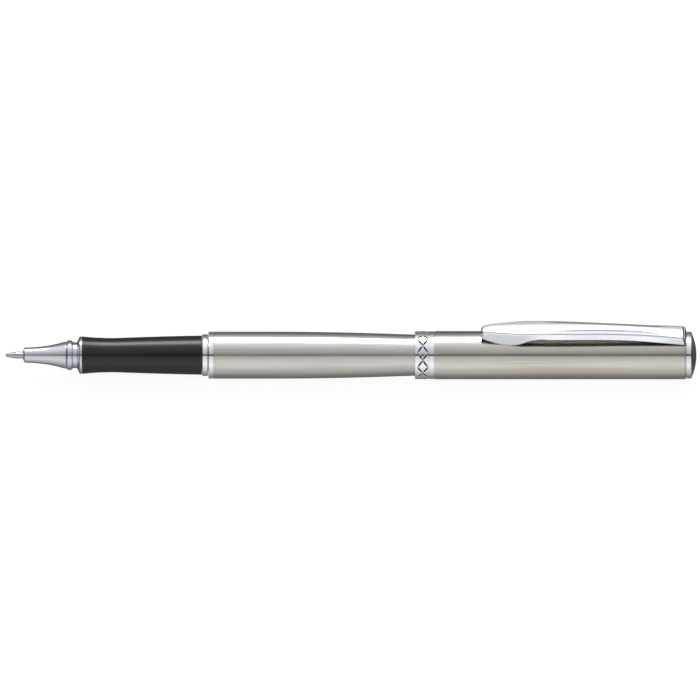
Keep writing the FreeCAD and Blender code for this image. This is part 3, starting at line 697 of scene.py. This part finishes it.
# The clip is folded from one sheet: a bowed panel along its middle, a step down on each side of
# the panel, a shoulder, a rounded fold and a flange. Each row has the station, half width, top of
# the fold, bottom edge, rounding of the fold, half width of the panel, slope of the step in
# degrees and lean of the flange. Heights are above the pen's axis.
CLIP_SECTIONS = [
    (14.78, 1.12, 8.22, 6.45, 0.40, 0.80, 8, 0.06),
    (15.43, 1.28, 8.34, 6.20, 0.45, 0.90, 8, 0.08),
    (16.77, 1.49, 8.56, 5.81, 0.50, 1.05, 8, 0.10),
    (19.00, 1.79, 8.67, 5.20, 0.55, 1.30, 8, 0.09),
    (21.20, 2.03, 8.70, 5.08, 0.55, 1.55, 8, 0.08),
    (23.50, 2.30, 8.73, 5.76, 0.55, 1.75, 8, 0.11),
    (25.70, 2.33, 8.81, 6.83, 0.55, 1.75, 8, 0.18),
    (27.96, 2.28, 8.86, 7.35, 0.55, 1.60, 8, 0.27),
    (30.50, 2.27, 8.84, 7.33, 0.58, 1.35, 14, 0.30),
    (33.00, 2.25, 8.78, 7.32, 0.60, 1.12, 28, 0.33),
    (36.90, 2.18, 8.68, 7.31, 0.62, 0.95, 36, 0.34),
    (41.37, 2.01, 8.58, 7.14, 0.65, 0.80, 38, 0.35),
    (45.84, 1.94, 8.38, 6.95, 0.65, 0.70, 38, 0.33),
    (50.30, 1.90, 8.12, 6.62, 0.65, 0.70, 34, 0.32),
    (53.67, 1.95, 7.88, 6.22, 0.65, 0.85, 26, 0.30),
    (56.60, 2.04, 7.69, 5.87, 0.62, 1.25, 10, 0.22),
    (59.26, 2.15, 7.45, 5.54, 0.60, 1.50, 8, 0.15),
    (60.02, 2.18, 7.37, 5.46, 0.60, 1.50, 8, 0.13),
]
CLIP_TIP = CLIP_SECTIONS[0][0]
CLIP_ROOT = CLIP_SECTIONS[-1][0]
CLIP_SHEET = 0.42       # thickness of the sheet
CLIP_WALL = 0.42        # length of the closed end at the nose
CLIP_BOW = 0.12         # curvature of the panel across the clip, per millimetre
CLIP_STEP = 0.34        # width of the step
CLIP_SHOULDER = 8       # least slope of the shoulder, in degrees
SHOULDER_SHARE = 0.25   # share of the step's slope that the shoulder takes on
INNER_FOLD = 0.12       # least rounding inside the fold
INNER_PANEL = 0.2       # how much narrower the panel is inside
EDGE_ROUND = 0.09       # rounding of the flange's edge
# how far along each end is rounded, and how far the rounding goes in
NOSE_ROUND = (0.65, 0.46)
ROOT_ROUND = (0.30, 0.22)
# the root's end leans back: how far for each millimetre down, from what height, over what length
ROOT_LEAN = 0.19
ROOT_LEAN_FROM = 7.2
ROOT_LEAN_LENGTH = 1.6


def smooth_table(table, station):
    """Reads the table at a station, along a cubic curve through its rows."""
    rows = np.array(table)
    places = rows[:, 0]
    station = min(max(station, places[0]), places[-1])
    index = min(max(int(np.searchsorted(places, station)) - 1, 0), len(rows) - 2)
    span = places[index + 1] - places[index]
    share = (station - places[index]) / span

    def slope(row):
        low = max(row - 1, 0)
        high = min(row + 1, len(rows) - 1)
        return (rows[high] - rows[low]) / (places[high] - places[low]) * span

    square = share * share
    cube = square * share
    return (
        rows[index] * (2 * cube - 3 * square + 1)
        + slope(index) * (cube - 2 * square + share)
        + rows[index + 1] * (3 * square - 2 * cube)
        + slope(index + 1) * (cube - square)
    )[1:]


def clip_half(half, height, low, fold, panel, slope, flare):
    """Right half of a section's skin, from the middle of its bowed panel to its bottom edge."""
    inset = half - fold
    fold_height = height - fold
    tilt = math.radians(CLIP_SHOULDER + (slope - CLIP_SHOULDER) * SHOULDER_SHARE)
    drop = math.tan(math.radians(slope))
    start = (inset + fold * math.sin(tilt), fold_height + fold * math.cos(tilt))
    border = min(panel + CLIP_STEP, start[0] - 0.04)
    panel = border - CLIP_STEP
    foot = start[1] + (start[0] - border) * math.tan(tilt)
    rim = foot + CLIP_STEP * drop
    top = rim + CLIP_BOW * panel * panel / 2
    lean = math.atan2(flare, max(fold_height - low, 0.3))
    points = []
    for place in np.linspace(0, panel, 9, endpoint=False):
        points.append((place, top - CLIP_BOW * place * place / 2))
    for place in np.linspace(panel, border, 5, endpoint=False):
        points.append((place, rim - (place - panel) * drop))
    for place in np.linspace(border, start[0], 4, endpoint=False):
        points.append((place, foot - (place - border) * math.tan(tilt)))
    for step in range(15):
        angle = tilt + (math.pi / 2 - lean - tilt) * step / 14
        points.append((inset + fold * math.sin(angle), fold_height + fold * math.cos(angle)))
    last = points[-1]
    edge = (last[0] + (last[1] - low) * math.tan(lean), low)
    for step in range(1, 7):
        share = step / 6
        height = last[1] + (low + EDGE_ROUND - last[1]) * share
        points.append((last[0] + (edge[0] - last[0]) * share, height))
    points.append((edge[0] - EDGE_ROUND * 0.3, low + EDGE_ROUND * 0.3))
    points.append((edge[0] - EDGE_ROUND, low))
    return points


def clip_loop(station):
    """A closed section of the clip: its skin from right to left, then its inside back."""
    half, height, low, fold, panel, slope, flare = smooth_table(CLIP_SECTIONS, station)
    ahead = station - CLIP_TIP
    behind = CLIP_ROOT - station
    for distance, (reach, tuck) in ((ahead, NOSE_ROUND), (behind, ROOT_ROUND)):
        if distance < reach:
            inwards = tuck * (1 - math.sqrt(max(1 - (1 - distance / reach) ** 2, 0)))
            half -= inwards
            height -= inwards
            low += inwards * 0.5
    skin = clip_half(half, height, low, fold, panel, slope, flare)
    count = len(skin)
    if ahead < CLIP_WALL:
        wide = skin[-1][0]
        inside = [(wide * 0.98 * step / (count - 1), low) for step in range(count)]
    else:
        inside = clip_half(
            half - CLIP_SHEET, height - CLIP_SHEET, low, max(fold - CLIP_SHEET, INNER_FOLD),
            panel - INNER_PANEL, slope, flare,
        )
        # the inner edge turns outwards, to meet the skin's edge
        inside[-2] = (inside[-3][0] + 0.02, low + 0.03)
        inside[-1] = (inside[-3][0] + 0.07, low)
    outer = [(across, up) for across, up in reversed(skin)]
    outer += [(-across, up) for across, up in skin[1:]]
    inner = [(across, up) for across, up in reversed(inside)]
    inner += [(-across, up) for across, up in inside[1:]]
    return outer, inner


def make_clip():
    """The folded clip: a channel open towards the cap, closed at its nose."""
    edge_points = 2
    turns = [1 - math.cos(math.pi / 2 * step / 12) for step in range(12)]
    stations = [CLIP_TIP + NOSE_ROUND[0] * turn * 0.9 for turn in turns]
    stations += [CLIP_TIP + CLIP_WALL - 0.01, CLIP_TIP + CLIP_WALL + 0.01]
    stations += list(np.linspace(CLIP_TIP + CLIP_WALL + 0.05, CLIP_ROOT - ROOT_ROUND[0], 221))
    stations += [CLIP_ROOT - ROOT_ROUND[0] * turn for turn in reversed(turns)]
    vertices = []
    inside = []
    for station in stations:
        outer, inner = clip_loop(station)
        lean = ROOT_LEAN * max(1 - (CLIP_ROOT - station) / ROOT_LEAN_LENGTH, 0)
        for across, up in outer + inner[::-1]:
            place = CAP_AT + station + lean * max(ROOT_LEAN_FROM - up, 0)
            vertices.append((place * MM, across * MM, AXIS_Z + up * MM))
        # the channel's inside is marked for its painted shade
        inside += [0.0] * (len(outer) + edge_points)
        inside += [1.0] * (len(inner) - 2 * edge_points)
        inside += [0.0] * edge_points
    side = len(outer)
    count = 2 * side
    faces = strips(len(stations), count)
    for first in (0, (len(stations) - 1) * count):
        for index in range(side - 1):
            faces.append([
                first + index, first + index + 1,
                first + count - 2 - index, first + count - 1 - index,
            ])
    new_piece(
        "clip_detail", vertices, faces, "clip", clip_chrome, ["clip"],
        sharp=42, inside=inside,
    )


make_clip()


# ---- inner pieces keep their shapes ----------------------------------------------------------

INNER = {
    "tip_holder": white_plastic,
    "refill_tube": clear_plastic,
    "ink_column": ink,
    "ink_follower": grease,
    "refill_tail_plug": white_plastic,
    "refill_spring": wire_steel,
    "section_seal": rubber,
    "thread_bush": brass,
    "cap_clutch_ring": clutch_plastic,
    "inner_cap": liner_plastic,
    "cap_top_bush": brass,
}
for node, material in INNER.items():
    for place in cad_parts[node].material_slots:
        place.material = material


# ---- floor, light and camera -----------------------------------------------------------------

def make_floor():
    """A plain floor that glows, so that it stays white, and takes only a faint shadow."""
    half = 2.0
    corners = [(-half, -half, 0), (half, -half, 0), (half, half, 0), (-half, half, 0)]
    mesh = bpy.data.meshes.new("floor")
    mesh.from_pydata(corners, [], [(0, 1, 2, 3)])
    floor = bpy.data.objects.new("floor", mesh)
    bpy.context.scene.collection.objects.link(floor)
    material = bpy.data.materials.new("pale_floor")
    material.use_nodes = True
    shader = material.node_tree.nodes["Principled BSDF"]
    shader.inputs["Base Color"].default_value = (0.12, 0.12, 0.12, 1)
    shader.inputs["Roughness"].default_value = 0.9
    shader.inputs["Specular IOR Level"].default_value = 0.0
    shader.inputs["Emission Color"].default_value = (1, 1, 1, 1)
    shader.inputs["Emission Strength"].default_value = 0.93
    mesh.materials.append(material)
    floor.visible_glossy = False


make_floor()

# brightness of the studio round the pen, by the angle in degrees from the front up over the top:
# a bright front, a dark gap between two panels at about 45, the lit ceiling, and a darker back
STUDIO = [
    (-180, 0.15), (-152, 0.24), (-141, 0.08), (-131, 0.06), (-118, 0.19), (-90, 0.24), (-73, 0.33),
    (-56.6, 0.52), (-42.5, 0.71), (-30, 0.78), (-18, 0.96), (-3, 1.08), (13, 0.94), (32.6, 0.75),
    (40.5, 0.62), (41.5, 0.05), (48.5, 0.05), (49.5, 0.45), (58, 0.53), (70, 0.66), (82, 0.78),
    (94, 0.98), (104, 1.08), (115, 1.15), (138, 1.08), (143, 0.90), (151, 0.62), (160, 0.37),
    (171, 0.28), (180, 0.17),
]
STUDIO_PEAK = 1.1
# the sideways share of a direction where the studio goes from bright to dark, and how dark
STUDIO_SIDES = (0.72, 0.84)
STUDIO_SIDE_LEVEL = 0.10
# the angles between which the light is cooler, and by how much
COOL_FROM, COOL_TO = 49, 114
COOL = 0.06
# the long softbox: where it fades in and out, its brightness, and how far it reaches sideways
SOFTBOX = (113, 117.5, 136, 138)
SOFTBOX_LEVEL = 6.8
SOFTBOX_SIDES = (0.12, 0.26)


def make_studio():
    """A world whose light depends on the angle round the pen and fades at the sides."""
    world = bpy.data.worlds.new("studio")
    bpy.context.scene.world = world
    world.use_nodes = True
    tree = world.node_tree
    background = tree.nodes["Background"]
    direction = add(tree, "ShaderNodeTexCoord").outputs["Generated"]
    parts = add(tree, "ShaderNodeSeparateXYZ", None, Vector=direction)
    front = maths(tree, "MULTIPLY", parts.outputs[1], -1.0)
    angle = maths(tree, "ARCTAN2", parts.outputs[2], front)
    place = spread(tree, angle, 0.0, 1.0, -math.pi, math.pi)
    ramp = add(tree, "ShaderNodeValToRGB", None, Fac=place)
    stops = ramp.color_ramp.elements
    while len(stops) > 1:
        stops.remove(stops[-1])
    for index, (degrees, level) in enumerate(STUDIO):
        at = (degrees + 180) / 360
        stop = stops[0] if index == 0 else stops.new(at)
        stop.position = at
        cool = COOL if COOL_FROM < degrees < COOL_TO else 0.0
        share = level / STUDIO_PEAK
        stop.color = (share, share * (1 + cool / 3), share * (1 + cool), 1)
    sideways = maths(tree, "ABSOLUTE", parts.outputs[0])
    side = spread(tree, sideways, 1.0, STUDIO_SIDE_LEVEL, *STUDIO_SIDES)
    tree.links.new(ramp.outputs[0], background.inputs[0])
    tree.links.new(maths(tree, "MULTIPLY", side, STUDIO_PEAK), background.inputs[1])
    rise, full, fall, gone = (math.radians(degrees) for degrees in SOFTBOX)
    strip = maths(
        tree, "MULTIPLY",
        spread(tree, angle, 0.0, SOFTBOX_LEVEL, rise, full),
        spread(tree, angle, 1.0, 0.0, fall, gone),
    )
    reach = spread(tree, sideways, 1.0, 0.0, *SOFTBOX_SIDES)
    softbox = add(
        tree, "ShaderNodeBackground", None,
        Color=(1, 1, 1, 1), Strength=maths(tree, "MULTIPLY", strip, reach),
    )
    both = add(tree, "ShaderNodeAddShader", None, i0=background.outputs[0], i1=softbox.outputs[0])
    tree.links.new(both.outputs[0], tree.nodes["World Output"].inputs[0])


make_studio()


CAMERA_TILT = math.radians(45)
CAMERA_WIDTH = 156.52
CAMERA_AWAY = 500
CAMERA_ASIDE = -0.22    # where it looks, along the pen from its middle and up in the picture
CAMERA_ABOVE = 1.15


def make_camera():
    """Looks down across the pen, square to it and without perspective."""
    data = bpy.data.cameras.new("camera")
    data.type = "ORTHO"
    data.ortho_scale = CAMERA_WIDTH * MM
    camera = bpy.data.objects.new("camera", data)
    bpy.context.scene.collection.objects.link(camera)
    forward = Vector((0, math.sin(CAMERA_TILT), -math.cos(CAMERA_TILT)))
    upward = Vector((0, math.cos(CAMERA_TILT), math.sin(CAMERA_TILT)))
    target = Vector((CAMERA_ASIDE * MM, 0, AXIS_Z)) + upward * CAMERA_ABOVE * MM
    camera.location = target - forward * CAMERA_AWAY * MM
    camera.rotation_euler = (CAMERA_TILT, 0, 0)
    bpy.context.scene.camera = camera


make_camera()
bpy.context.scene.view_settings.view_transform = "Standard"
